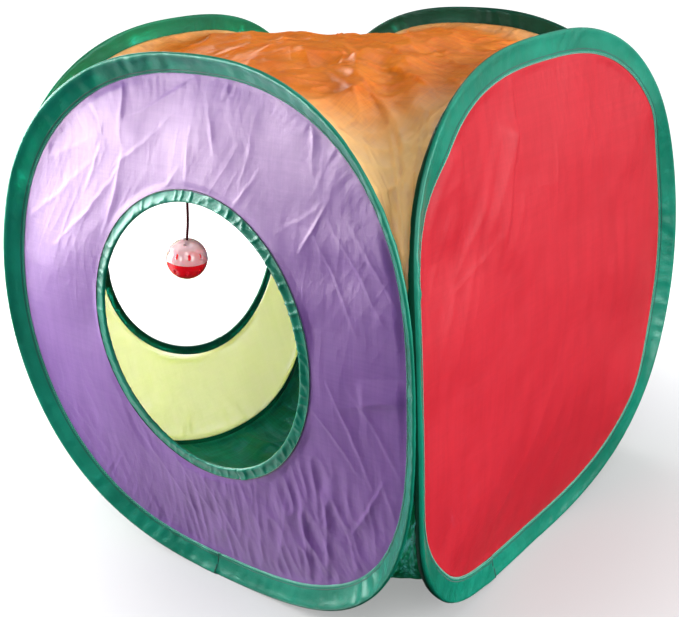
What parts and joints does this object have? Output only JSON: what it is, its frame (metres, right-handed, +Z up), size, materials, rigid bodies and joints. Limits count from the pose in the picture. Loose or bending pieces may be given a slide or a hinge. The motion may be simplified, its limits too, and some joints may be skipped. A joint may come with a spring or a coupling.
{
  "type": "collapsible cat cube",
  "caption": "Pop-up fabric play cube for cats: sprung hoops in green sleeves hold coloured cloth sides apart, with round bound entrances and a lattice ball on a string.",
  "frame": {"origin": "on the floor, under the middle of the bounding box", "axes": "+Z up, -Y out of the front with the hanging ball, +X out of the side without an entrance on the right of the front"},
  "size_m": [0.4558, 0.4506, 0.4504],
  "materials": {
    "sleeve_green": "satin binding",
    "cloth_lilac": "satin polyester",
    "cloth_red": "polyester",
    "cloth_blue": "polyester",
    "cloth_lime": "polyester",
    "cloth_orange": "polyester",
    "cloth_green": "polyester",
    "cord_maroon": "twisted cord",
    "plastic_pink": "slightly translucent",
    "plastic_red": "glossy"
  },
  "bodies": {
    "cube": {"hoop_front": "sleeve_green", "hoop_right": "sleeve_green", "hoop_back": "sleeve_green", "hoop_left": "sleeve_green", "cloth_front": "cloth_lilac", "cloth_right": "cloth_red", "cloth_back": "cloth_blue", "cloth_left": "cloth_lime", "cloth_top": "cloth_orange", "cloth_floor": "cloth_green", "ring_front": "sleeve_green", "ring_left": "sleeve_green"},
    "string": {"string": "cord_maroon", "string_knot": "cord_maroon"},
    "ball": {"ball_upper": "plastic_pink", "ball_lower": "plastic_red"}
  },
  "joints": [
    {"name": "string_swing", "type": "hinge", "parent": "cube", "child": "string", "pos_m": [0.00711, -0.20921, 0.33949], "axis": [1, 0, 0], "range_deg": [-60, 60]},
    {"name": "ball_spin", "type": "hinge", "parent": "string", "child": "ball", "pos_m": [0.00125, -0.20921, 0.29497], "axis": [0.1305, 0, 0.9914], "continuous": true}
  ]
}
